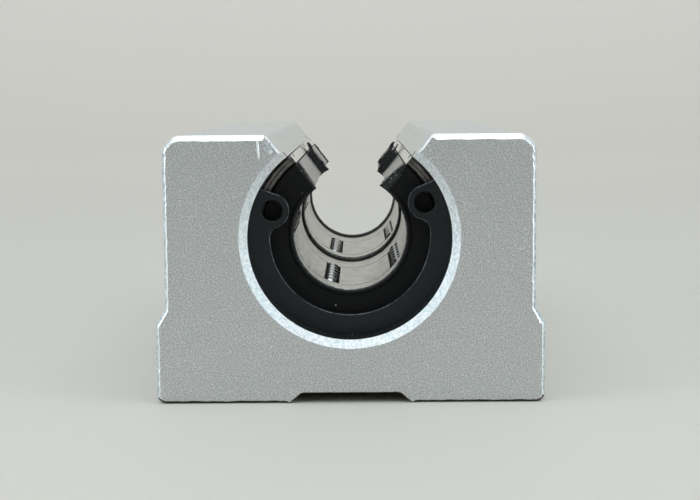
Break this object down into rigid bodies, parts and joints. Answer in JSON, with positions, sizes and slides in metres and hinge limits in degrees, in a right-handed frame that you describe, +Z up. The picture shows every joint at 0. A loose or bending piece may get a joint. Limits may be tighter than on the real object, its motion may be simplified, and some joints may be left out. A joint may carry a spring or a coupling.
{
  "type": "open linear ball bearing pillow block",
  "caption": "Extruded aluminium block with an open bore that holds two open ball bushings end to end, so that it slides along a supported round shaft.",
  "frame": {"origin": "middle of the mounting face, at the bottom of the block", "axes": "+X across the block, +Y along the shaft from the front end to the rear end, +Z up from the mounting face towards the slot"},
  "size_m": [0.04, 0.07, 0.0276],
  "materials": {
    "housing_aluminium": "fine blasted grain on the end faces, bright burnished edges, satin extruded sides",
    "sleeve_steel": "ground bearing steel",
    "cage_steel": "bright drawn steel with faint handling marks",
    "ball_steel": "polished bearing balls",
    "circlip_steel": "black phosphated spring steel, lightly oiled",
    "seal_rubber": "black moulded nitrile rubber with fine flash on the lip and cut edges",
    "screw_steel": "black oxide"
  },
  "bodies": {
    "root": {"housing": "housing_aluminium", "front_circlip": "circlip_steel", "rear_circlip": "circlip_steel", "front_sleeve": "sleeve_steel", "front_cage": "cage_steel", "front_outer_seal": "seal_rubber", "front_inner_seal": "seal_rubber", "rear_sleeve": "sleeve_steel", "rear_cage": "cage_steel", "rear_outer_seal": "seal_rubber", "rear_inner_seal": "seal_rubber"},
    "front_left_load_row": {"front_left_load_row": "ball_steel"},
    "front_left_return_row": {"front_left_return_row": "ball_steel"},
    "front_left_near_turn": {"front_left_near_turn": "ball_steel"},
    "front_left_far_turn": {"front_left_far_turn": "ball_steel"},
    "front_bottom_load_row": {"front_bottom_load_row": "ball_steel"},
    "front_bottom_return_row": {"front_bottom_return_row": "ball_steel"},
    "front_bottom_near_turn": {"front_bottom_near_turn": "ball_steel"},
    "front_bottom_far_turn": {"front_bottom_far_turn": "ball_steel"},
    "front_right_load_row": {"front_right_load_row": "ball_steel"},
    "front_right_return_row": {"front_right_return_row": "ball_steel"},
    "front_right_near_turn": {"front_right_near_turn": "ball_steel"},
    "front_right_far_turn": {"front_right_far_turn": "ball_steel"},
    "front_set_screw": {"front_set_screw": "screw_steel"},
    "rear_left_load_row": {"rear_left_load_row": "ball_steel"},
    "rear_left_return_row": {"rear_left_return_row": "ball_steel"},
    "rear_left_near_turn": {"rear_left_near_turn": "ball_steel"},
    "rear_left_far_turn": {"rear_left_far_turn": "ball_steel"},
    "rear_bottom_load_row": {"rear_bottom_load_row": "ball_steel"},
    "rear_bottom_return_row": {"rear_bottom_return_row": "ball_steel"},
    "rear_bottom_near_turn": {"rear_bottom_near_turn": "ball_steel"},
    "rear_bottom_far_turn": {"rear_bottom_far_turn": "ball_steel"},
    "rear_right_load_row": {"rear_right_load_row": "ball_steel"},
    "rear_right_return_row": {"rear_right_return_row": "ball_steel"},
    "rear_right_near_turn": {"rear_right_near_turn": "ball_steel"},
    "rear_right_far_turn": {"rear_right_far_turn": "ball_steel"},
    "rear_set_screw": {"rear_set_screw": "screw_steel"}
  },
  "joints": [
    {"name": "front_left_load_row_slide", "type": "slide", "parent": "root", "child": "front_left_load_row", "axis": [0, 1, 0], "range_m": [-0.00129, 0.00129]},
    {"name": "front_left_return_row_slide", "type": "slide", "parent": "root", "child": "front_left_return_row", "axis": [0, 1, 0], "range_m": [-0.00129, 0.00129]},
    {"name": "front_left_near_turn_roll", "type": "hinge", "parent": "root", "child": "front_left_near_turn", "pos_m": [-0.00737, -0.02272, 0.01477], "axis": [-0.9613, 0, -0.2756], "range_deg": [-30, 30]},
    {"name": "front_left_far_turn_roll", "type": "hinge", "parent": "root", "child": "front_left_far_turn", "pos_m": [-0.00737, -0.00728, 0.01477], "axis": [-0.9613, 0, -0.2756], "range_deg": [-30, 30]},
    {"name": "front_bottom_load_row_slide", "type": "slide", "parent": "root", "child": "front_bottom_load_row", "axis": [0, 1, 0], "range_m": [-0.00129, 0.00129]},
    {"name": "front_bottom_return_row_slide", "type": "slide", "parent": "root", "child": "front_bottom_return_row", "axis": [0, 1, 0], "range_m": [-0.00129, 0.00129]},
    {"name": "front_bottom_near_turn_roll", "type": "hinge", "parent": "root", "child": "front_bottom_near_turn", "pos_m": [-0.00005, -0.02272, 0.0093], "axis": [-0.0209, 0, -0.9998], "range_deg": [-30, 30]},
    {"name": "front_bottom_far_turn_roll", "type": "hinge", "parent": "root", "child": "front_bottom_far_turn", "pos_m": [-0.00005, -0.00728, 0.0093], "axis": [-0.0209, 0, -0.9998], "range_deg": [-30, 30]},
    {"name": "front_right_load_row_slide", "type": "slide", "parent": "root", "child": "front_right_load_row", "axis": [0, 1, 0], "range_m": [-0.00129, 0.00129]},
    {"name": "front_right_return_row_slide", "type": "slide", "parent": "root", "child": "front_right_return_row", "axis": [0, 1, 0], "range_m": [-0.00129, 0.00129]},
    {"name": "front_right_near_turn_roll", "type": "hinge", "parent": "root", "child": "front_right_near_turn", "pos_m": [0.00734, -0.02272, 0.01468], "axis": [0.9489, 0, -0.3156], "range_deg": [-30, 30]},
    {"name": "front_right_far_turn_roll", "type": "hinge", "parent": "root", "child": "front_right_far_turn", "pos_m": [0.00734, -0.00728, 0.01468], "axis": [0.9489, 0, -0.3156], "range_deg": [-30, 30]},
    {"name": "front_set_screw_travel", "type": "slide", "parent": "root", "child": "front_set_screw", "axis": [1, 0, 0], "range_m": [0, 0.0025]},
    {"name": "rear_left_load_row_slide", "type": "slide", "parent": "root", "child": "rear_left_load_row", "axis": [0, 1, 0], "range_m": [-0.00129, 0.00129]},
    {"name": "rear_left_return_row_slide", "type": "slide", "parent": "root", "child": "rear_left_return_row", "axis": [0, 1, 0], "range_m": [-0.00129, 0.00129]},
    {"name": "rear_left_near_turn_roll", "type": "hinge", "parent": "root", "child": "rear_left_near_turn", "pos_m": [-0.00737, 0.00728, 0.01477], "axis": [-0.9613, 0, -0.2756], "range_deg": [-30, 30]},
    {"name": "rear_left_far_turn_roll", "type": "hinge", "parent": "root", "child": "rear_left_far_turn", "pos_m": [-0.00737, 0.02272, 0.01477], "axis": [-0.9613, 0, -0.2756], "range_deg": [-30, 30]},
    {"name": "rear_bottom_load_row_slide", "type": "slide", "parent": "root", "child": "rear_bottom_load_row", "axis": [0, 1, 0], "range_m": [-0.00129, 0.00129]},
    {"name": "rear_bottom_return_row_slide", "type": "slide", "parent": "root", "child": "rear_bottom_return_row", "axis": [0, 1, 0], "range_m": [-0.00129, 0.00129]},
    {"name": "rear_bottom_near_turn_roll", "type": "hinge", "parent": "root", "child": "rear_bottom_near_turn", "pos_m": [-0.00005, 0.00728, 0.0093], "axis": [-0.0209, 0, -0.9998], "range_deg": [-30, 30]},
    {"name": "rear_bottom_far_turn_roll", "type": "hinge", "parent": "root", "child": "rear_bottom_far_turn", "pos_m": [-0.00005, 0.02272, 0.0093], "axis": [-0.0209, 0, -0.9998], "range_deg": [-30, 30]},
    {"name": "rear_right_load_row_slide", "type": "slide", "parent": "root", "child": "rear_right_load_row", "axis": [0, 1, 0], "range_m": [-0.00129, 0.00129]},
    {"name": "rear_right_return_row_slide", "type": "slide", "parent": "root", "child": "rear_right_return_row", "axis": [0, 1, 0], "range_m": [-0.00129, 0.00129]},
    {"name": "rear_right_near_turn_roll", "type": "hinge", "parent": "root", "child": "rear_right_near_turn", "pos_m": [0.00734, 0.00728, 0.01468], "axis": [0.9489, 0, -0.3156], "range_deg": [-30, 30]},
    {"name": "rear_right_far_turn_roll", "type": "hinge", "parent": "root", "child": "rear_right_far_turn", "pos_m": [0.00734, 0.02272, 0.01468], "axis": [0.9489, 0, -0.3156], "range_deg": [-30, 30]},
    {"name": "rear_set_screw_travel", "type": "slide", "parent": "root", "child": "rear_set_screw", "axis": [1, 0, 0], "range_m": [0, 0.0025]}
  ],
  "couplings": [
    {"joint": "front_left_return_row_slide", "follows": "front_left_load_row_slide", "ratio": -1},
    {"joint": "front_left_near_turn_roll", "follows": "front_left_load_row_slide", "rad_per_m": 407.1},
    {"joint": "front_left_far_turn_roll", "follows": "front_left_load_row_slide", "rad_per_m": 407.1},
    {"joint": "front_bottom_return_row_slide", "follows": "front_bottom_load_row_slide", "ratio": -1},
    {"joint": "front_bottom_near_turn_roll", "follows": "front_bottom_load_row_slide", "rad_per_m": 407.1},
    {"joint": "front_bottom_far_turn_roll", "follows": "front_bottom_load_row_slide", "rad_per_m": 407.1},
    {"joint": "front_right_return_row_slide", "follows": "front_right_load_row_slide", "ratio": -1},
    {"joint": "front_right_near_turn_roll", "follows": "front_right_load_row_slide", "rad_per_m": 407.1},
    {"joint": "front_right_far_turn_roll", "follows": "front_right_load_row_slide", "rad_per_m": 407.1},
    {"joint": "rear_left_return_row_slide", "follows": "rear_left_load_row_slide", "ratio": -1},
    {"joint": "rear_left_near_turn_roll", "follows": "rear_left_load_row_slide", "rad_per_m": 407.1},
    {"joint": "rear_left_far_turn_roll", "follows": "rear_left_load_row_slide", "rad_per_m": 407.1},
    {"joint": "rear_bottom_return_row_slide", "follows": "rear_bottom_load_row_slide", "ratio": -1},
    {"joint": "rear_bottom_near_turn_roll", "follows": "rear_bottom_load_row_slide", "rad_per_m": 407.1},
    {"joint": "rear_bottom_far_turn_roll", "follows": "rear_bottom_load_row_slide", "rad_per_m": 407.1},
    {"joint": "rear_right_return_row_slide", "follows": "rear_right_load_row_slide", "ratio": -1},
    {"joint": "rear_right_near_turn_roll", "follows": "rear_right_load_row_slide", "rad_per_m": 407.1},
    {"joint": "rear_right_far_turn_roll", "follows": "rear_right_load_row_slide", "rad_per_m": 407.1}
  ]
}
